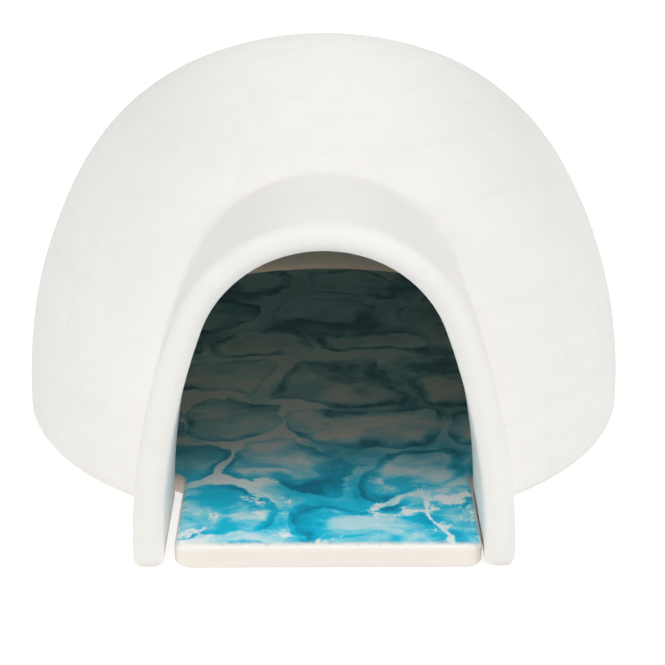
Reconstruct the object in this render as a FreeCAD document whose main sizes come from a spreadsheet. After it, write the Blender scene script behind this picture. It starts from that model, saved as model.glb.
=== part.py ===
import FreeCAD, Part
import math
import os

import Sketcher
from FreeCAD import Vector

# A ceramic igloo for a small pet: a dome with an arched porch, cast in one, and a loose floor plate.
# Millimetres. The origin is on the dome's axis at table level, +Z is up and the porch faces -Y.

# Driving dimensions: alias, value, meaning
DIMENSIONS = [
    ("dome_diameter", 170.0, "outside width of the dome at the table"),
    ("dome_height", 101.0, "table to the crown"),
    ("shoulder_radius", 67.0, "outside arc between the dome's side and its crown"),
    ("flank_sweep", 29.3, "degrees that the side's arc turns through, upright at the table"),
    ("shoulder_sweep", 46.4, "degrees that the shoulder's arc turns through"),
    ("wall", 6.5, "thickness of the cast shell"),
    ("porch_projection", 17.5, "porch in front of the dome's foot"),
    ("roof_drop", 14.9, "dome's crown down to the front of the porch roof"),
    ("roof_fall", 8.8, "slope of the porch roof, from its front down to the dome's axis"),
    ("porch_side", 7.3, "thickness of the porch's sides"),
    ("door_width", 75.4, "clear width of the porch at the table"),
    ("door_crown_radius", 28.7, "arc over the doorway, on sides that are upright at the table"),
    ("porch_blend", 3.0, "fillet where the porch grows out of the dome"),
    ("edge_rounding", 2.5, "rounding of the porch's rim, its inner end and the foot"),
    ("plate_thickness", 6.0, "floor plate, top to bottom"),
    ("plate_gap", 2.0, "clearance round the plate inside a centred dome"),
    ("tongue_gap", 1.35, "clearance beside the tongue in a centred porch"),
    ("resting_gap", 0.3, "what is left of it on the side the plate has slid to"),
    ("sill_setback", 1.0, "front of the tongue behind the front of the porch"),
    ("tongue_corner", 4.0, "plan rounding of the tongue's front corners"),
    ("neck_fillet", 4.0, "plan fillet where the tongue leaves the disc"),
    ("plate_top_rounding", 1.8, "soft upper edge of the plate"),
    ("plate_foot_rounding", 0.8, "lower edge of the plate"),
]

ON_SURFACE = 0.01  # how close a point lies to a surface that it belongs to
NEAR_ARCH = 0.02  # share of an arch's radius within which a point counts as on its tunnel
SMOOTH = 0.99  # cosine of the angle under which two faces run on smoothly
EDGE_SAMPLES = 7  # points tested along an edge
LARGEST_ROUNDING = 0.45  # share of the wall that an edge's rounding may take from each side

doc = FreeCAD.newDocument("Igloo")
sheet = doc.addObject("Spreadsheet::Sheet", "Sizes")
for row, (alias, value, meaning) in enumerate(DIMENSIONS, 1):
    sheet.set(f"A{row}", alias)
    sheet.set(f"B{row}", str(value))
    sheet.setAlias(f"B{row}", alias)
    sheet.set(f"C{row}", meaning)
doc.recompute()


def cell(alias):
    return float(sheet.get(alias))


PORCH_FRONT = "Sizes.dome_diameter / 2 + Sizes.porch_projection"


def porch_front():
    """Dome axis to the front of the porch."""
    return cell("dome_diameter") / 2 + cell("porch_projection")


def new_sketch(body, name, plane, forward=None):
    """Sketch on one of the body's planes, or on one set forward of it by a formula."""
    sketch = body.newObject("Sketcher::SketchObject", name)
    support = next(part for part in body.Origin.OriginFeatures if part.Role == plane)
    sketch.AttachmentSupport = [(support, "")]
    sketch.MapMode = "FlatFace"
    if forward:
        sketch.setExpression("AttachmentOffset.Base.z", forward)
    return sketch


def join(sketch, kind, first, first_end, second, second_end):
    sketch.addConstraint(Sketcher.Constraint(kind, first, first_end, second, second_end))


def dimension(sketch, name, formula, *constraint):
    """Add a dimension to the sketch and bind it to the sheet."""
    index = sketch.addConstraint(Sketcher.Constraint(*constraint))
    sketch.renameConstraint(index, name)
    sketch.setExpression(f"Constraints.{name}", formula)


def arc(centre, radius, start, end):
    circle = Part.Circle(centre, Vector(0, 0, 1), radius)
    return Part.ArcOfCircle(circle, start, end)


def bearing(centre, point):
    return math.atan2(point.y - centre.y, point.x - centre.x)


def is_sharp(shape, edge):
    """Tells an edge where two faces meet at an angle from a seam in a smooth skin."""
    middle = edge.discretize(3)[1]
    faces = shape.ancestorsOfType(edge, Part.Face)
    normals = [face.normalAt(*face.Surface.parameter(middle)) for face in faces]
    return len(normals) == 2 and abs(normals[0].dot(normals[1])) < SMOOTH


def edges_where(feature, belongs):
    """Names of the feature's sharp edges whose points all belong."""
    names = []
    for number, edge in enumerate(feature.Shape.Edges, 1):
        if edge.Degenerated or not is_sharp(feature.Shape, edge):
            continue
        if all(belongs(edge, point) for point in edge.discretize(EDGE_SAMPLES)):
            names.append(f"Edge{number}")
    return names


def is_straight(edge):
    return isinstance(edge.Curve, Part.Line)


def on_table(edge, point):
    return abs(point.z) < ON_SURFACE


def round_edges(body, base, name, belongs, formula):
    doc.recompute()
    fillet = body.newObject("PartDesign::Fillet", name)
    fillet.Base = (base, edges_where(base, belongs))
    fillet.setExpression("Radius", formula)
    return fillet


# A sketch's own numbers for its origin and axes, and for the points of a line or an arc
ROOT = X_AXIS = -1
Y_AXIS = X_AXIS - 1
START, END, CENTRE = range(1, 4)


def outer_arcs(radius, height, shoulder_radius, flank_end, shoulder_end):
    """Radii of the side's and the crown's arcs that close the section at the table and on the axis."""
    side_in = 1 - math.cos(flank_end)
    side_up = math.sin(flank_end)
    crown_in = math.cos(shoulder_end)
    crown_up = 1 - math.sin(shoulder_end)
    run = radius - shoulder_radius * (math.cos(flank_end) - crown_in)
    rise = height - shoulder_radius * (math.sin(shoulder_end) - side_up)
    scale = side_in * crown_up - side_up * crown_in
    flank_radius = (run * crown_up - rise * crown_in) / scale
    crown_radius = (rise * side_in - run * side_up) / scale
    return flank_radius, crown_radius


def dome_profile(body, name, inset, inset_formula):
    """Half section of the dome, three tangent arcs, set in from the outside by a wall or by nothing."""
    radius = cell("dome_diameter") / 2 - inset
    height = cell("dome_height") - inset
    shoulder_radius = cell("shoulder_radius") - inset
    flank_end = math.radians(cell("flank_sweep"))
    shoulder_end = flank_end + math.radians(cell("shoulder_sweep"))
    flank_radius, crown_radius = outer_arcs(radius, height, shoulder_radius, flank_end, shoulder_end)
    flank_centre = Vector(radius - flank_radius, 0)
    crown_centre = Vector(0, height - crown_radius)
    inward = shoulder_radius - flank_radius
    shoulder_centre = flank_centre - Vector(math.cos(flank_end), math.sin(flank_end)) * inward

    sketch = new_sketch(body, name, "XZ_Plane")
    flank = sketch.addGeometry(arc(flank_centre, flank_radius, 0, flank_end))
    shoulder = sketch.addGeometry(arc(shoulder_centre, shoulder_radius, flank_end, shoulder_end))
    crown = sketch.addGeometry(arc(crown_centre, crown_radius, shoulder_end, math.pi / 2))
    axis = sketch.addGeometry(Part.LineSegment(Vector(0, height), Vector(0, 0)))
    base = sketch.addGeometry(Part.LineSegment(Vector(0, 0), Vector(radius, 0)))
    join(sketch, "Tangent", flank, END, shoulder, START)
    join(sketch, "Tangent", shoulder, END, crown, START)
    join(sketch, "Coincident", crown, END, axis, START)
    join(sketch, "Coincident", axis, END, base, START)
    join(sketch, "Coincident", base, END, flank, START)
    join(sketch, "Coincident", base, START, ROOT, START)
    sketch.addConstraint(Sketcher.Constraint("Horizontal", base))
    sketch.addConstraint(Sketcher.Constraint("Vertical", axis))
    sketch.addConstraint(Sketcher.Constraint("PointOnObject", flank, CENTRE, X_AXIS))
    sketch.addConstraint(Sketcher.Constraint("PointOnObject", crown, CENTRE, Y_AXIS))
    dimension(sketch, "reach", f"Sizes.dome_diameter / 2{inset_formula}",
              "DistanceX", base, START, base, END, radius)
    dimension(sketch, "rise", f"Sizes.dome_height{inset_formula}",
              "DistanceY", axis, END, axis, START, height)
    dimension(sketch, "shoulder", f"Sizes.shoulder_radius{inset_formula}",
              "Radius", shoulder, shoulder_radius)
    dimension(sketch, "flank_sweep", "Sizes.flank_sweep * 1 deg", "Angle", flank, flank_end)
    dimension(sketch, "shoulder_sweep", "Sizes.shoulder_sweep * 1 deg",
              "Angle", shoulder, shoulder_end - flank_end)
    return sketch


class Arch:
    """Doorway outline: a round top with sides that spread towards the table, grown by two margins."""

    def __init__(self, over, beside, behind_front):
        self.top_radius = cell("door_crown_radius") + over
        roof = cell("dome_height") - cell("roof_drop")
        roof -= cell("roof_fall") * behind_front / porch_front()
        self.top_centre = Vector(0, roof - cell("wall") - cell("door_crown_radius"))
        self.half_width = cell("door_width") / 2 + beside
        spread = self.half_width - self.top_radius
        self.jamb_radius = self.top_radius + (spread**2 + self.top_centre.y**2) / (2 * spread)
        self.jamb_centre = Vector(self.half_width - self.jamb_radius, 0)
        self.spring = bearing(self.jamb_centre, self.top_centre)

    def half_width_at(self, height):
        if height > self.top_centre.y + self.top_radius * math.sin(self.spring):
            return math.sqrt(max(self.top_radius**2 - (height - self.top_centre.y) ** 2, 0))
        return self.jamb_centre.x + math.sqrt(self.jamb_radius**2 - height**2)

    def sketch(self, body, name, over_formula, beside_formula, fall_formula, forward):
        far_spring = math.pi - self.spring
        sketch = new_sketch(body, name, "XZ_Plane", forward)
        right = sketch.addGeometry(arc(self.jamb_centre, self.jamb_radius, 0, self.spring))
        top = sketch.addGeometry(arc(self.top_centre, self.top_radius, self.spring, far_spring))
        left = sketch.addGeometry(arc(-self.jamb_centre, self.jamb_radius, far_spring, math.pi))
        base = sketch.addGeometry(
            Part.LineSegment(Vector(-self.half_width, 0), Vector(self.half_width, 0))
        )
        join(sketch, "Tangent", right, END, top, START)
        join(sketch, "Tangent", top, END, left, START)
        join(sketch, "Coincident", left, END, base, START)
        join(sketch, "Coincident", base, END, right, START)
        sketch.addConstraint(Sketcher.Constraint("PointOnObject", base, START, X_AXIS))
        sketch.addConstraint(Sketcher.Constraint("Symmetric", base, START, base, END, Y_AXIS))
        sketch.addConstraint(Sketcher.Constraint("PointOnObject", top, CENTRE, Y_AXIS))
        sketch.addConstraint(Sketcher.Constraint("PointOnObject", right, CENTRE, X_AXIS))
        sketch.addConstraint(Sketcher.Constraint("PointOnObject", left, CENTRE, X_AXIS))
        roof_formula = f"Sizes.dome_height - Sizes.roof_drop{fall_formula}"
        dimension(sketch, "spring_height",
                  f"{roof_formula} - Sizes.wall - Sizes.door_crown_radius",
                  "DistanceY", ROOT, START, top, CENTRE, self.top_centre.y)
        dimension(sketch, "top", f"Sizes.door_crown_radius{over_formula}",
                  "Radius", top, self.top_radius)
        dimension(sketch, "width", f"Sizes.door_width{beside_formula}{beside_formula}",
                  "DistanceX", base, START, base, END, 2 * self.half_width)
        return sketch


class Tunnel:
    """Arched tunnel from the dome's axis to the porch's front, under a roof that slopes."""

    def __init__(self, over, over_formula, beside, beside_formula):
        self.over = over
        self.over_formula = over_formula
        self.beside = beside
        self.beside_formula = beside_formula

    def section(self, behind_front):
        return Arch(self.over, self.beside, behind_front)

    def loft(self, body, kind, name):
        grown = (self.over_formula, self.beside_formula)
        back = self.section(porch_front())
        front = self.section(0)
        feature = body.newObject(kind, name)
        feature.Profile = back.sketch(body, f"{name}Back", *grown, " - Sizes.roof_fall", None)
        feature.Sections = [front.sketch(body, f"{name}Front", *grown, "", PORCH_FRONT)]
        feature.Ruled = True
        return feature

    def has_on_skin(self, point):
        arch = self.section(point.y + porch_front())
        return abs(abs(point.x) - arch.half_width_at(point.z)) < NEAR_ARCH * arch.top_radius


def revolve(body, kind, name, profile):
    feature = body.newObject(kind, name)
    feature.Profile = profile
    feature.ReferenceAxis = (profile, ["V_Axis"])
    feature.Angle = 360
    return feature


def dome_shell():
    wall = cell("wall")
    front = -porch_front()
    outer = Tunnel(wall, " + Sizes.wall", cell("porch_side"), " + Sizes.porch_side")
    inner = Tunnel(0, "", 0, "")

    def on_front(point):
        return abs(point.y - front) < ON_SURFACE

    def where_porch_meets_dome(edge, point):
        return not is_straight(edge) and outer.has_on_skin(point) and not on_front(point)

    def open_edge(edge, point):
        at_doorway = on_front(point) or inner.has_on_skin(point)
        return on_table(edge, point) or at_doorway and not is_straight(edge)

    body = doc.addObject("PartDesign::Body", "dome_shell")
    outside = dome_profile(body, "DomeOutside", 0, "")
    revolve(body, "PartDesign::Revolution", "Dome", outside)
    porch = outer.loft(body, "PartDesign::AdditiveLoft", "Porch")
    blend = round_edges(body, porch, "PorchBlend", where_porch_meets_dome, "Sizes.porch_blend")
    doc.recompute()
    solid_volume = blend.Shape.Volume

    inside = dome_profile(body, "DomeInside", wall, " - Sizes.wall")
    cavity = revolve(body, "PartDesign::Groove", "Cavity", inside)
    doc.recompute()
    hollow_volume = cavity.Shape.Volume
    assert hollow_volume < solid_volume

    passage = inner.loft(body, "PartDesign::SubtractiveLoft", "Passage")
    doc.recompute()
    assert passage.Shape.Volume < hollow_volume

    softened = f"min(Sizes.edge_rounding; {LARGEST_ROUNDING} * Sizes.wall)"
    round_edges(body, passage, "SoftEdges", open_edge, softened)
    return body


def floor_plate():
    disc_radius = cell("dome_diameter") / 2 - cell("wall") - cell("plate_gap")
    half_tongue = cell("door_width") / 2 - cell("tongue_gap")
    front = cell("sill_setback") - porch_front()
    thickness = cell("plate_thickness")
    neck = -math.sqrt(disc_radius**2 - half_tongue**2)
    right_neck = Vector(half_tongue, neck)
    left_neck = Vector(-half_tongue, neck)
    right_corner = Vector(half_tongue, front)
    left_corner = Vector(-half_tongue, front)

    def is_upright(edge):
        return is_straight(edge) and edge.BoundBox.ZLength > ON_SURFACE

    def at_corner(edge, point):
        return is_upright(edge) and abs(point.y - front) < ON_SURFACE

    def at_neck(edge, point):
        return is_upright(edge) and abs(point.y - neck) < ON_SURFACE

    def on_top(edge, point):
        return abs(point.z - thickness) < ON_SURFACE

    body = doc.addObject("PartDesign::Body", "floor_plate")
    outline = new_sketch(body, "PlateOutline", "XY_Plane")
    centre = Vector(0, 0)
    full_turn = 2 * math.pi
    disc = outline.addGeometry(
        arc(centre, disc_radius, bearing(centre, right_neck), bearing(centre, left_neck) + full_turn)
    )
    left = outline.addGeometry(Part.LineSegment(left_neck, left_corner))
    sill = outline.addGeometry(Part.LineSegment(left_corner, right_corner))
    right = outline.addGeometry(Part.LineSegment(right_corner, right_neck))
    join(outline, "Coincident", disc, END, left, START)
    join(outline, "Coincident", left, END, sill, START)
    join(outline, "Coincident", sill, END, right, START)
    join(outline, "Coincident", right, END, disc, START)
    join(outline, "Coincident", disc, CENTRE, ROOT, START)
    outline.addConstraint(Sketcher.Constraint("Vertical", left))
    outline.addConstraint(Sketcher.Constraint("Vertical", right))
    outline.addConstraint(Sketcher.Constraint("Symmetric", sill, START, sill, END, Y_AXIS))
    dimension(outline, "disc", "Sizes.dome_diameter / 2 - Sizes.wall - Sizes.plate_gap",
              "Radius", disc, disc_radius)
    dimension(outline, "tongue", "Sizes.door_width - 2 * Sizes.tongue_gap",
              "DistanceX", sill, START, sill, END, 2 * half_tongue)
    dimension(outline, "sill", f"{PORCH_FRONT} - Sizes.sill_setback",
              "DistanceY", sill, START, ROOT, START, -front)
    slab = body.newObject("PartDesign::Pad", "Slab")
    slab.Profile = outline
    slab.setExpression("Length", "Sizes.plate_thickness")
    corners = round_edges(body, slab, "Corners", at_corner, "Sizes.tongue_corner")
    neck_blend = round_edges(body, corners, "Neck", at_neck, "Sizes.neck_fillet")
    upper = round_edges(body, neck_blend, "UpperEdge", on_top, "Sizes.plate_top_rounding")
    round_edges(body, upper, "LowerEdge", on_table, "Sizes.plate_foot_rounding")

    # The plate is loose and lies slid over to the doorway's right side.
    room = min(Arch(0, 0, 0).half_width_at(thickness) - half_tongue, cell("plate_gap"))
    slide = room - cell("resting_gap")
    body.Placement = FreeCAD.Placement(Vector(slide, 0, 0), FreeCAD.Rotation())
    return body


bodies = [dome_shell(), floor_plate()]
doc.recompute()

for item in doc.Objects:
    assert "Invalid" not in item.State and "Error" not in item.State, f"{item.Name}: {item.State}"
for body in bodies:
    assert not body.Shape.isNull() and body.Shape.isValid(), f"{body.Label} has no valid shape"

os.makedirs("parts", exist_ok=True)
for body in bodies:
    body.Shape.exportStep(f"parts/{body.Label}.step")
    box = body.Shape.optimalBoundingBox()
    volume = body.Shape.Volume / 1000
    print(f"{body.Label}: {box.XLength:.1f} x {box.YLength:.1f} x {box.ZLength:.1f} mm, {volume:.1f} cm3")
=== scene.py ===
import math

import bpy
import numpy as np
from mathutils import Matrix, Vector, noise


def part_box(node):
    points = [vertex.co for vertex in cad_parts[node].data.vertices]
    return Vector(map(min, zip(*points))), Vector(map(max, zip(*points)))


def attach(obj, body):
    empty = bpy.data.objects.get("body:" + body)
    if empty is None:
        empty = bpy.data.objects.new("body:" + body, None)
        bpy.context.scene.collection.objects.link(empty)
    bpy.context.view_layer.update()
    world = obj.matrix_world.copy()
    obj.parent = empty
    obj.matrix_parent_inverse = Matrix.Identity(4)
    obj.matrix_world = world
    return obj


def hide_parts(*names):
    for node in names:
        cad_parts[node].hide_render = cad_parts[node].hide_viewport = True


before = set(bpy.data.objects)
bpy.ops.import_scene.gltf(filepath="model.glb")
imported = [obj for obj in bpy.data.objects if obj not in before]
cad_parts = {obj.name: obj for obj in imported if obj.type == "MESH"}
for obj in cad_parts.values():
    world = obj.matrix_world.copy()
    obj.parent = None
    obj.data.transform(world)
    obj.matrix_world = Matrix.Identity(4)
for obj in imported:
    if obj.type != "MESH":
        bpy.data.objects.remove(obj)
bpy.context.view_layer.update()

# Metres, in the CAD frame: the dome's axis is Z, the table is z = 0 and the porch opens towards -Y.
MM = 0.001

# Photograph: square frame, fitted viewpoint
FRAME_PIXELS = 665
FOCAL_PIXELS = 1532.4
SENSOR_MM = 36.0
CAMERA_PLACE = Vector((0, -408.4, 197.2)) * MM
CAMERA_DOWN = math.radians(23.97)
CAMERA_TURN = math.radians(0.36)
CAMERA_CLIP = 10 * MM

# Dome skin
VOXEL = 1.25 * MM
SMOOTHING_ROUNDS = 6
SMOOTHING = 0.5
HEART_HEIGHT = 16 * MM  # a point on the axis that the dome's skin is about equally far from
WALL_MIDDLE = 81.3 * MM  # between the inner and the outer skin, from the heart
PORCH_STARTS = 87.2 * MM  # the porch stands out beyond this, from the heart
PORCH_FADE = 0.8 * MM
FACING_OUT = 0.80, 0.94  # cosines between the normal and the way out from the heart
FACING_IN = 0.3, 0.7
UNEVENNESS = 0.30 * MM
UNEVEN_SCALE = 34 * MM
FOOT_HEIGHT = 4 * MM  # left true, so that the dome stands flat

# Snow blocks scored into the skin: heights of the bed joints, then each course's count of blocks
# and the bearing of one of its upright joints, in degrees from the porch towards +X
BED_JOINTS = [95.2 * MM, 86.0 * MM, 73.5 * MM, 50.0 * MM, 21.5 * MM]
COURSES = [(5, 12.0), (8, -28.5), (10, -57.0), (9, -56.0), (10, -57.5), (9, -77.0)]
GROOVE_DEPTH = 0.22 * MM
GROOVE_WIDTH = 1.0 * MM
GROOVE_SHARE = 0.55  # of the full depth, and how much it comes and goes along a joint
GROOVE_SWING = 0.9
GROOVE_LEAST = 0.15
GROOVE_SWING_SCALE = 30 * MM
WOBBLE = 1.1 * MM
WOBBLE_SCALE = 16 * MM

# Glaze and clay
GLAZE_THIN = (0.856, 0.838, 0.801, 1)
GLAZE_THICK = (0.873, 0.857, 0.823, 1)
GLAZE_IN_JOINT = (0.76, 0.74, 0.69, 1)
JOINT_DARKENS = 0.17
DEN_CLAY = (0.92, 0.81, 0.67, 1), (0.94, 0.84, 0.72, 1)
DEN_BARE = 0.9  # how little glaze covers the clay in the den, and at the dome's foot
FOOT_BARE = 0.8
FOOT_BARE_HEIGHTS = 0.3 * MM, 1.6 * MM
PLATE_CLAY = (0.84, 0.78, 0.71, 1), (0.87, 0.81, 0.74, 1)
PLATE_GLAZE = (0.84, 0.80, 0.74, 1)

# Painted floor: ice blocks in courses, drawn out of true by a slow drift and a quicker ripple
ICE_BLOCK = 35 * MM
ICE_COURSE = 26 * MM
ICE_SEAM = 1.1 * MM  # half the pale seam between blocks
ICE_CORNER = 9 * MM
COURSE_STAGGER = 0.5  # of a block from course to course, and a random share more
RANDOM_STAGGER = 0.4
DRIFT_SCALE = 42 * MM
DRIFT_ALONG = 13 * MM
DRIFT_ACROSS = 14 * MM
RIPPLE_SCALE = 15 * MM
RIPPLE_ALONG = 3 * MM
RIPPLE_ACROSS = 4 * MM
DRIFT_SLICE = 50 * MM  # other slices of the noise, for what shifts a block sideways
RIPPLE_SLICE = 110 * MM

# Its brushwork
NOISE_SPAN = 0.2, 0.8  # fine noise hardly leaves this
GRAIN_SCALE = 1.8 * MM
RAGGED_SCALE = 6.5 * MM
EDGE_GRAIN = 0.3 * MM
EDGE_RAGGED = 1.6 * MM
BLOCK_SHRINKS = -0.6 * MM, 2.2 * MM
STROKE_WIDTHS = 2.0 * MM, 8.0 * MM
STROKE_EDGE = 0.3 * MM
SEAM_BLUR = 0.6 * MM
BRUSH_STRETCH = 0.6
BLOCK_MIDDLE = 3 * MM, 8 * MM  # from a block's edge, where it is washed out

# Where the painting changes between the back and the sill, in Y, and where painted shade lies in the
# den
SILL_IS_RICH = -60 * MM, -80 * MM
# The den's painted shade gives way to the bright blues towards the sill
PAINTED_SHADE_ENDS = -18 * MM, -82 * MM
# The ground and the washed-out middles darken towards the back with painted shade
GROUND_DARKENS = -38 * MM, 38 * MM
WASH_DARKENS = -38 * MM, 30 * MM
# Painted shade of the back of the den, multiplied over the muted colours
BACK_SHADE_DEEPENS = 0.0, 45 * MM
SEAMS_CLEAR = 40 * MM, -80 * MM

# Its colours, with the steps from thin to thick paint; the far, muted and back colours hold painted
# shade of the den
GROUND_NEAR = (0.72, 0.76, 0.73, 1), (0.80, 0.76, 0.70, 1)
# The far colours are darkened with painted shade of the den
GROUND_FAR_SHADED = (0.30, 0.53, 0.54, 1), (0.35, 0.55, 0.54, 1)
WASHED_NEAR = (0.72, 0.67, 0.60, 1)
WASHED_FAR_SHADED = (0.28, 0.47, 0.48, 1)
# Painted shade, deepest at the back of the den
BACK_PAINTED_SHADE = (0.43, 0.68, 0.77, 1)
DRY_WHITE = (0.84, 0.89, 0.90, 1)
PAINT_STEPS = (0.05, 0.22, 0.42, 0.68, 1.0)
# The muted blues are partly the paint's own, partly painted shade of the den
MUTED_SHADED_BLUES = [
    (0.59, 0.70, 0.69, 1),
    (0.47, 0.68, 0.68, 1),
    (0.25, 0.50, 0.54, 1),
    (0.08, 0.27, 0.33, 1),
    (0.03, 0.13, 0.17, 1),
]
BRIGHT_BLUES = [
    (0.72, 0.88, 0.90, 1),
    (0.29, 0.74, 0.85, 1),
    (0.012, 0.57, 0.80, 1),
    (0.004, 0.43, 0.66, 1),
    (0.004, 0.24, 0.39, 1),
]

# Edges of the plate, which the paint leaves bare: depths below its top, then distances from its front
PAINT_STOPS = 1.0 * MM, 0.2 * MM
GLAZE_STOPS = 2.0 * MM, 0.1 * MM
BARE_SILL = 0.6 * MM, 2.8 * MM
SILL_GRAIN = 0.5 * MM

# Studio
FLOOR_REACH = 4.0
FLOOR_GREY = (0.5, 0.5, 0.5, 1)
WHITE = (1, 1, 1, 1)
ROOM_LIGHT = 0.05
BACKDROP_LIGHT = 1.0
FLOOR_LIGHT = 0.48  # glow of the white floor on the igloo
FLOOR_SHOWN = 0.64  # and in the picture


def smoothstep(low, high, value):
    t = np.clip((value - low) / (high - low), 0, 1)
    return t * t * (3 - 2 * t)


def noise_at(points, scale, shift=0.0):
    """Smooth noise around zero at each point; another shift gives another pattern."""
    offset = Vector((shift, shift, shift))
    return np.array([noise.noise(Vector(point) / scale + offset) for point in points])


# Meshes

def vertex_places(mesh):
    flat = np.empty(len(mesh.vertices) * 3)
    mesh.vertices.foreach_get("co", flat)
    return flat.reshape(-1, 3)


def vertex_normals(mesh):
    flat = np.empty(len(mesh.vertices) * 3)
    mesh.vertex_normals.foreach_get("vector", flat)
    return flat.reshape(-1, 3)


def add_values(mesh, name, values):
    layer = mesh.attributes.new(name, "FLOAT", "POINT")
    layer.data.foreach_set("value", values)


def add_smoothing(piece, name, rounds):
    modifier = piece.modifiers.new(name, "SMOOTH")
    modifier.iterations = rounds
    modifier.factor = SMOOTHING


def remeshed_copy(node, name):
    """A new object with an even, smooth skin on the node's shape."""
    piece = bpy.data.objects.new(name, node.data.copy())
    bpy.context.scene.collection.objects.link(piece)
    remesh = piece.modifiers.new("Even", "REMESH")
    remesh.mode = "VOXEL"
    remesh.voxel_size = VOXEL
    add_smoothing(piece, "Soften", SMOOTHING_ROUNDS)
    settle = piece.modifiers.new("Settle", "SHRINKWRAP")
    settle.target = node
    settle.wrap_method = "NEAREST_SURFACEPOINT"
    add_smoothing(piece, "Ease", 1)
    evaluated = piece.evaluated_get(bpy.context.evaluated_depsgraph_get())
    skin = bpy.data.meshes.new_from_object(evaluated)
    piece.modifiers.clear()
    piece.data = skin
    skin.name = name
    skin.shade_smooth()
    return piece


def groove_profile(distance):
    return np.exp(-((distance / GROOVE_WIDTH) ** 2))


def skin_radius(places, flat_radius):
    """Heights in rising order and the skin's radius at each."""
    order = np.argsort(places[:, 2])
    return places[order, 2], flat_radius[order]


def block_joints(places, heart_distance):
    """How deep each point lies in a scored joint, 0 to 1."""
    flat_radius = np.hypot(places[:, 0], places[:, 1])
    rise = np.arctan2(places[:, 2] - HEART_HEIGHT, flat_radius)
    bearing = np.degrees(np.arctan2(places[:, 0], -places[:, 1]))
    wobble = WOBBLE * noise_at(places, WOBBLE_SCALE)
    side_wobble = WOBBLE * noise_at(places, WOBBLE_SCALE, shift=7.3)

    radius_at_bed = np.interp(BED_JOINTS, *skin_radius(places, flat_radius))
    bed_rise = np.arctan2(np.array(BED_JOINTS) - HEART_HEIGHT, radius_at_bed)
    depth = np.zeros(len(places))
    for angle in bed_rise:
        distance = heart_distance * (rise - angle) + wobble
        depth = np.maximum(depth, groove_profile(distance))

    edges = np.concatenate(([math.pi], bed_rise, [-math.pi]))
    for (count, first), upper, lower in zip(COURSES, edges[:-1], edges[1:]):
        in_course = (rise <= upper) & (rise > lower)
        step = 360 / count
        off = (bearing - first + step / 2) % step - step / 2
        distance = np.radians(off) * flat_radius + side_wobble
        depth = np.where(in_course, np.maximum(depth, groove_profile(distance)), depth)
    return depth


def inside_share(places, normals, heart_distance):
    """1 on the den's wall and ceiling, 0 on the outside and the porch."""
    towards_heart = -np.einsum("ij,ij->i", places - (0, 0, HEART_HEIGHT), normals) / heart_distance
    return smoothstep(*FACING_IN, towards_heart) * (heart_distance < WALL_MIDDLE)


def score_blocks(piece):
    """Press the block joints into the outer skin, with the slight unevenness of cast clay."""
    mesh = piece.data
    places = vertex_places(mesh)
    normals = vertex_normals(mesh)
    outward = places - (0, 0, HEART_HEIGHT)
    heart_distance = np.linalg.norm(outward, axis=1)
    facing = np.einsum("ij,ij->i", outward, normals) / heart_distance
    dome = smoothstep(*FACING_OUT, facing) * (heart_distance > WALL_MIDDLE)
    dome *= 1 - smoothstep(PORCH_STARTS - PORCH_FADE, PORCH_STARTS, heart_distance)
    outside = np.flatnonzero(dome > 0)

    joints = np.zeros(len(places))
    joints[outside] = block_joints(places[outside], heart_distance[outside]) * dome[outside]
    swing = GROOVE_SWING * noise_at(places[outside], GROOVE_SWING_SCALE, shift=3.1)
    joints[outside] *= np.clip(GROOVE_SHARE + swing, GROOVE_LEAST, 1)
    uneven = np.zeros(len(places))
    uneven[outside] = 0.5 + noise_at(places[outside], UNEVEN_SCALE, shift=1.7)
    standing = smoothstep(0, FOOT_HEIGHT, places[:, 2])
    inward = (GROOVE_DEPTH * joints + UNEVENNESS * uneven * dome) * standing
    places -= normals * inward[:, None]
    places[:, 2] = np.maximum(places[:, 2], 0)
    mesh.vertices.foreach_set("co", places.ravel())

    add_values(mesh, "joint", joints)
    add_values(mesh, "inside", inside_share(places, normals, heart_distance))
    mesh.update()


# Materials

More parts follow.
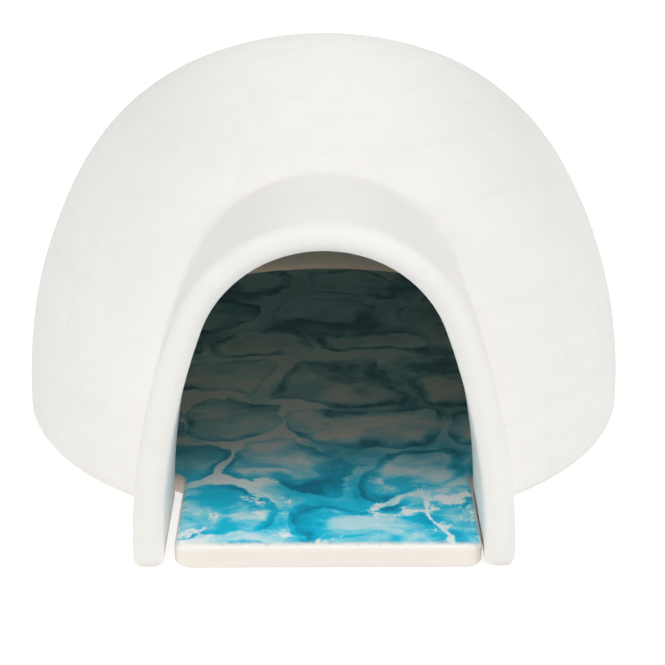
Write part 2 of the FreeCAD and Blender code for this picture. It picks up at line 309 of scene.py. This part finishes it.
class Nodes:
    """Short calls for building one material's node tree."""

    def __init__(self, name):
        self.material = bpy.data.materials.new(name)
        self.material.use_nodes = True
        self.tree = self.material.node_tree
        self.shader = self.tree.nodes["Principled BSDF"]

    def add(self, kind, **settings):
        node = self.tree.nodes.new(kind)
        for key, value in settings.items():
            setattr(node, key, value)
        return node

    def feed(self, socket, value):
        if isinstance(value, bpy.types.NodeSocket):
            self.tree.links.new(value, socket)
        else:
            socket.default_value = value

    def shade(self, **inputs):
        """Feed the shader's inputs, named in lower case with underscores."""
        for key, value in inputs.items():
            label = key.replace("_", " ").title().replace("Ior", "IOR")
            self.feed(self.shader.inputs[label], value)

    def position(self):
        return self.add("ShaderNodeTexCoord").outputs["Object"]

    def axes(self, vector):
        node = self.add("ShaderNodeSeparateXYZ")
        self.feed(node.inputs[0], vector)
        return node.outputs[0], node.outputs[1], node.outputs[2]

    def point(self, x, y, z=0.0):
        node = self.add("ShaderNodeCombineXYZ")
        for socket, value in zip(node.inputs, (x, y, z)):
            self.feed(socket, value)
        return node.outputs[0]

    def attribute(self, name):
        return self.add("ShaderNodeAttribute", attribute_name=name).outputs["Fac"]

    def math(self, operation, first, second=0.0):
        node = self.add("ShaderNodeMath", operation=operation)
        self.feed(node.inputs[0], first)
        self.feed(node.inputs[1], second)
        return node.outputs[0]

    def total(self, *values):
        first = values[0]
        for value in values[1:]:
            first = self.math("ADD", first, value)
        return first

    def minus(self, first, second):
        return self.math("SUBTRACT", first, second)

    def times(self, first, second):
        return self.math("MULTIPLY", first, second)

    def ramp(self, value, low, high, start=0.0, end=1.0):
        """Smooth change from start to end while the value goes from low to high."""
        node = self.add("ShaderNodeMapRange", interpolation_type="SMOOTHSTEP")
        for key, entry in (("Value", value), ("From Min", low), ("From Max", high),
                           ("To Min", start), ("To Max", end)):
            self.feed(node.inputs[key], entry)
        return node.outputs["Result"]

    def mix(self, share, first, second, blend="MIX"):
        node = self.add("ShaderNodeMix", data_type="RGBA", blend_type=blend)
        self.feed(node.inputs["Factor"], share)
        self.feed(node.inputs["A"], first)
        self.feed(node.inputs["B"], second)
        return next(output for output in node.outputs if output.type == "RGBA")

    def colours(self, value, places, colours):
        """Colour ramp with a colour at each place between 0 and 1."""
        node = self.add("ShaderNodeValToRGB")
        entries = node.color_ramp.elements
        while len(entries) < len(places):
            entries.new(0.5)
        for entry, place, colour in zip(entries, places, colours):
            entry.position = place
            entry.color = colour
        self.feed(node.inputs[0], value)
        return node.outputs[0]

    def random(self, vector):
        """One value of 0 to 1 for each whole-numbered point."""
        node = self.add("ShaderNodeTexWhiteNoise")
        self.feed(node.inputs["Vector"], vector)
        return node.outputs["Value"]

    def noise(self, place, size, detail, roughness=0.5, distortion=0.0):
        """Noise of 0 to 1 whose features are about size across."""
        node = self.add("ShaderNodeTexNoise")
        self.feed(node.inputs["Vector"], place)
        node.inputs["Scale"].default_value = 1 / size
        node.inputs["Detail"].default_value = detail
        node.inputs["Roughness"].default_value = roughness
        node.inputs["Distortion"].default_value = distortion
        return node.outputs["Fac"]

    def patches(self, place, size, low, high, start=0.0, end=1.0, **texture):
        """Patches about size across: start where the noise is below low, end where it is above high."""
        return self.ramp(self.noise(place, size, **texture), low, high, start, end)

    def shift(self, value, reach, span=(0.0, 1.0)):
        """A value in the span as a shift of up to reach either way."""
        return self.ramp(value, *span, -reach, reach)

    def bump(self, height, distance):
        node = self.add("ShaderNodeBump")
        node.inputs["Strength"].default_value = 1.0
        node.inputs["Distance"].default_value = distance
        self.feed(node.inputs["Height"], height)
        return node.outputs["Normal"]


def glaze_material():
    n = Nodes("white_glaze")
    place = n.position()
    cloud = n.noise(place, 28 * MM, detail=3)
    smoothed = n.noise(place, 8 * MM, detail=4, roughness=0.62, distortion=0.5)
    grain = n.noise(place, 1.6 * MM, detail=3)
    thick = n.ramp(n.total(n.times(cloud, 0.5), n.times(smoothed, 0.5)), 0.38, 0.62)
    white = n.mix(thick, GLAZE_THIN, GLAZE_THICK)
    pooled = n.mix(n.times(n.attribute("joint"), JOINT_DARKENS), white, GLAZE_IN_JOINT)
    clay = n.mix(n.noise(place, 9 * MM, detail=4), *DEN_CLAY)
    walls = n.mix(n.times(n.attribute("inside"), DEN_BARE), pooled, clay)
    bare_foot = n.ramp(n.axes(place)[2], *FOOT_BARE_HEIGHTS, FOOT_BARE, 0.0)
    n.shade(
        base_color=n.mix(bare_foot, walls, clay),
        roughness=n.patches(place, 12 * MM, 0.3, 0.7, 0.56, 0.66, detail=2),
        specular_ior_level=0.25,
        normal=n.bump(n.total(smoothed, n.times(grain, 0.12)), 0.24 * MM),
    )
    return n.material


def rounded_block(n, across, along):
    """Distance outside an ice block that is centred on zero, negative inside it."""
    beyond_x = n.minus(n.math("ABSOLUTE", across), ICE_BLOCK / 2 - ICE_SEAM - ICE_CORNER)
    beyond_y = n.minus(n.math("ABSOLUTE", along), ICE_COURSE / 2 - ICE_SEAM - ICE_CORNER)
    out_x = n.math("MAXIMUM", beyond_x, 0.0)
    out_y = n.math("MAXIMUM", beyond_y, 0.0)
    outer = n.math("SQRT", n.total(n.times(out_x, out_x), n.times(out_y, out_y)))
    inner = n.math("MINIMUM", n.math("MAXIMUM", beyond_x, beyond_y), 0.0)
    return n.minus(n.total(outer, inner), ICE_CORNER)


def ice_blocks(n, place):
    """Staggered courses of blocks, with every line drawn a little out of true.

    Gives each point's distance outside its block, and the block's random tone and shrinkage.
    """
    x, y, _ = n.axes(place)
    drift = n.noise(place, DRIFT_SCALE, detail=1)
    side_drift = n.noise(n.point(y, x, DRIFT_SLICE), DRIFT_SCALE, detail=1)
    ripple = n.noise(place, RIPPLE_SCALE, detail=1)
    side_ripple = n.noise(n.point(y, x, RIPPLE_SLICE), RIPPLE_SCALE, detail=1)
    along = n.total(y, n.shift(drift, DRIFT_ALONG), n.shift(ripple, RIPPLE_ALONG))
    across = n.total(x, n.shift(side_drift, DRIFT_ACROSS), n.shift(side_ripple, RIPPLE_ACROSS))

    row_place = n.math("DIVIDE", along, ICE_COURSE)
    row = n.math("FLOOR", row_place)
    row_random = n.random(n.point(row, 3.0))
    stagger = n.total(n.times(row, COURSE_STAGGER), n.times(row_random, RANDOM_STAGGER))
    block_place = n.total(n.math("DIVIDE", across, ICE_BLOCK), stagger)
    block = n.math("FLOOR", block_place)
    in_row = n.times(n.minus(n.math("FRACT", row_place), 0.5), ICE_COURSE)
    in_block = n.times(n.minus(n.math("FRACT", block_place), 0.5), ICE_BLOCK)
    tone = n.random(n.point(row, block, 1.0))
    shrink = n.ramp(n.random(n.point(row, block, 2.0)), 0, 1, *BLOCK_SHRINKS)
    return rounded_block(n, in_block, in_row), tone, shrink


def brushwork(n, place, grain):
    """How thick the paint lies, and how far each point is inside its block.

    Each block is drawn with a wet stroke round its edge and washed out towards its middle,
    and the course at the sill is painted more richly, with dry white patches.
    """
    outside, tone, shrink = ice_blocks(n, place)
    x, y, _ = n.axes(place)
    richly = n.ramp(y, *SILL_IS_RICH)
    ragged = n.noise(place, RAGGED_SCALE, detail=4, roughness=0.55)
    edge = n.total(n.shift(grain, EDGE_GRAIN, NOISE_SPAN), n.shift(ragged, EDGE_RAGGED, NOISE_SPAN))
    inset = n.minus(edge, n.total(outside, shrink))

    stroke_width = n.patches(place, 17 * MM, 0.3, 0.7, *STROKE_WIDTHS, detail=1)
    broken = n.patches(place, 21 * MM, 0.36, 0.6, 0.14, 0.66, detail=2)
    wetness = n.times(broken, n.ramp(ragged, 0.35, 0.6, 1.1, 0.8))
    stroke = n.times(n.ramp(inset, stroke_width, STROKE_EDGE), wetness)
    swept = n.point(n.times(x, BRUSH_STRETCH), y, n.times(tone, 0.3))
    brush = n.patches(swept, 11 * MM, 0.36, 0.66, detail=5, roughness=0.58, distortion=0.3)
    wash = n.times(brush, n.ramp(richly, 0, 1, 0.30, 0.46))
    body = n.times(tone, n.ramp(richly, 0, 1, 0.16, 0.18))
    paint = n.total(stroke, wash, body, n.times(grain, 0.03))

    bare = n.patches(place, 15 * MM, 0.545, 0.635, detail=7, roughness=0.72, distortion=0.3)
    dry = n.times(bare, n.ramp(richly, 0, 1, 0.25, 0.95))
    paint = n.times(paint, n.minus(1.0, dry))
    seam_wash = n.patches(place, 26 * MM, 0.38, 0.62, 0.15, 0.85, detail=1)
    in_seam = n.times(seam_wash, n.ramp(y, *SEAMS_CLEAR, 1.0, 0.7))
    paint = n.times(paint, n.ramp(inset, -SEAM_BLUR, SEAM_BLUR, in_seam, 1.0))
    return paint, inset


def ice_colours(n, place, paint, inset):
    """Muted blues in the den, partly the paint's own and partly painted shade that deepens towards the
    back, which turn bright towards the sill.
    """
    y = n.axes(place)[1]
    covered = n.ramp(paint, 0.02, 0.24)
    warm = n.patches(place, 24 * MM, 0.45, 0.65, detail=2)
    # The far ground is darkened with painted shade of the den
    near_ground = n.mix(warm, *GROUND_NEAR)
    far_shaded_ground = n.mix(warm, *GROUND_FAR_SHADED)
    ground = n.mix(n.ramp(y, *GROUND_DARKENS), near_ground, far_shaded_ground)
    washed_out = n.patches(place, 19 * MM, 0.45, 0.62, 0.0, 0.55, detail=2)
    washed = n.times(n.ramp(inset, *BLOCK_MIDDLE), washed_out)
    paler = n.mix(n.ramp(y, *WASH_DARKENS), WASHED_NEAR, WASHED_FAR_SHADED)

    # Muted den colours: partly the paint's own, partly painted shade
    muted_shaded = n.mix(covered, ground, n.colours(paint, PAINT_STEPS, MUTED_SHADED_BLUES))
    shaded_quiet = n.mix(washed, muted_shaded, paler)
    # Painted shade, deepening towards the back of the den
    shaded_quiet = n.mix(n.ramp(y, *BACK_SHADE_DEEPENS), shaded_quiet, BACK_PAINTED_SHADE, blend="MULTIPLY")
    lively = n.mix(covered, DRY_WHITE, n.colours(paint, PAINT_STEPS, BRIGHT_BLUES))
    # Painted shade of the den gives way to the bright sill colours
    return n.mix(n.ramp(y, *PAINTED_SHADE_ENDS), shaded_quiet, lively)


def painted_floor_material():
    n = Nodes("painted_floor")
    place = n.position()
    grain = n.noise(place, GRAIN_SCALE, detail=4, roughness=0.6)
    paint, inset = brushwork(n, place, grain)
    painted = ice_colours(n, place, paint, inset)

    # The paint stops at the rounded edges, which are bare glaze over cream clay
    low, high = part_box("floor_plate")
    _, y, z = n.axes(place)
    below_top = n.minus(high[2], z)
    from_front = n.total(n.minus(y, low[1]), n.shift(grain, SILL_GRAIN, NOISE_SPAN))
    on_top = n.times(n.ramp(below_top, *PAINT_STOPS), n.ramp(from_front, *BARE_SILL))
    clay = n.mix(n.noise(place, 16 * MM, detail=2), *PLATE_CLAY)
    glazed = n.mix(n.ramp(below_top, *GLAZE_STOPS), clay, PLATE_GLAZE)
    n.shade(
        base_color=n.mix(on_top, glazed, painted),
        roughness=n.patches(place, 12 * MM, 0.3, 0.7, 0.31, 0.38, detail=2),
        normal=n.bump(n.noise(place, 7 * MM, detail=1), 0.05 * MM),
    )
    return n.material


def studio_floor_material():
    n = Nodes("studio_floor")
    seen = n.add("ShaderNodeLightPath").outputs["Is Camera Ray"]
    n.shade(
        base_color=FLOOR_GREY,
        roughness=0.9,
        specular_ior_level=0.1,
        emission_color=WHITE,
        emission_strength=n.ramp(seen, 0, 1, FLOOR_LIGHT, FLOOR_SHOWN),
    )
    return n.material


# Pieces

def dress(piece, material):
    """Give the whole piece one material."""
    for slot in piece.material_slots:
        slot.material = material
    if not piece.material_slots:
        piece.data.materials.append(material)


def build_dome():
    dome = remeshed_copy(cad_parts["dome_shell"], "igloo_dome")
    score_blocks(dome)
    dome.data.materials.clear()
    dress(dome, glaze_material())
    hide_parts("dome_shell")
    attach(dome, "dome")


def build_plate():
    dress(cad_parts["floor_plate"], painted_floor_material())


# Studio

def build_floor():
    half = FLOOR_REACH
    corners = [(-half, -half, 0), (half, -half, 0), (half, half, 0), (-half, half, 0)]
    mesh = bpy.data.meshes.new("studio_floor")
    mesh.from_pydata(corners, [], [(0, 1, 2, 3)])
    floor = bpy.data.objects.new("studio_floor", mesh)
    bpy.context.scene.collection.objects.link(floor)
    dress(floor, studio_floor_material())


def soft_sun(name, bearing, rise, spread, strength):
    """A far, broad light, placed by bearing from the porch and angle above the table, in degrees."""
    turn = math.radians(bearing)
    up = math.radians(rise)
    way = Vector((math.sin(turn) * math.cos(up), -math.cos(turn) * math.cos(up), math.sin(up)))
    lamp = bpy.data.lights.new(name, "SUN")
    lamp.energy = strength
    lamp.angle = math.radians(spread)
    lamp_object = bpy.data.objects.new(name, lamp)
    lamp_object.location = way
    lamp_object.rotation_euler = way.to_track_quat("Z", "Y").to_euler()
    bpy.context.scene.collection.objects.link(lamp_object)


def build_lights():
    soft_sun("key", bearing=10, rise=65, spread=26, strength=1.11)
    soft_sun("left_fill", bearing=-60, rise=25, spread=30, strength=1.37)
    soft_sun("right_fill", bearing=68, rise=26, spread=30, strength=1.3)
    soft_sun("back_light", bearing=180, rise=55, spread=40, strength=0.58)
    soft_sun("low_back_light", bearing=180, rise=25, spread=40, strength=0.58)
    soft_sun("door_light", bearing=0, rise=14, spread=10, strength=0.10)


def build_surroundings():
    """A dim room round the table, with a white backdrop behind the picture."""
    world = bpy.data.worlds.new("studio")
    world.use_nodes = True
    tree = world.node_tree
    background = tree.nodes["Background"]
    background.inputs["Color"].default_value = WHITE
    seen = tree.nodes.new("ShaderNodeLightPath")
    brightness = tree.nodes.new("ShaderNodeMapRange")
    brightness.inputs["To Min"].default_value = ROOM_LIGHT
    brightness.inputs["To Max"].default_value = BACKDROP_LIGHT
    tree.links.new(seen.outputs["Is Camera Ray"], brightness.inputs["Value"])
    tree.links.new(brightness.outputs["Result"], background.inputs["Strength"])
    bpy.context.scene.world = world


def build_camera():
    data = bpy.data.cameras.new("camera")
    data.sensor_width = SENSOR_MM
    data.lens = FOCAL_PIXELS / FRAME_PIXELS * SENSOR_MM
    data.clip_start = CAMERA_CLIP
    camera = bpy.data.objects.new("camera", data)
    camera.location = CAMERA_PLACE
    camera.rotation_euler = (math.pi / 2 - CAMERA_DOWN, 0, -CAMERA_TURN)
    bpy.context.scene.collection.objects.link(camera)
    bpy.context.scene.camera = camera


build_camera()
build_dome()
build_plate()
build_floor()
build_lights()
build_surroundings()
bpy.context.scene.view_settings.view_transform = "Standard"
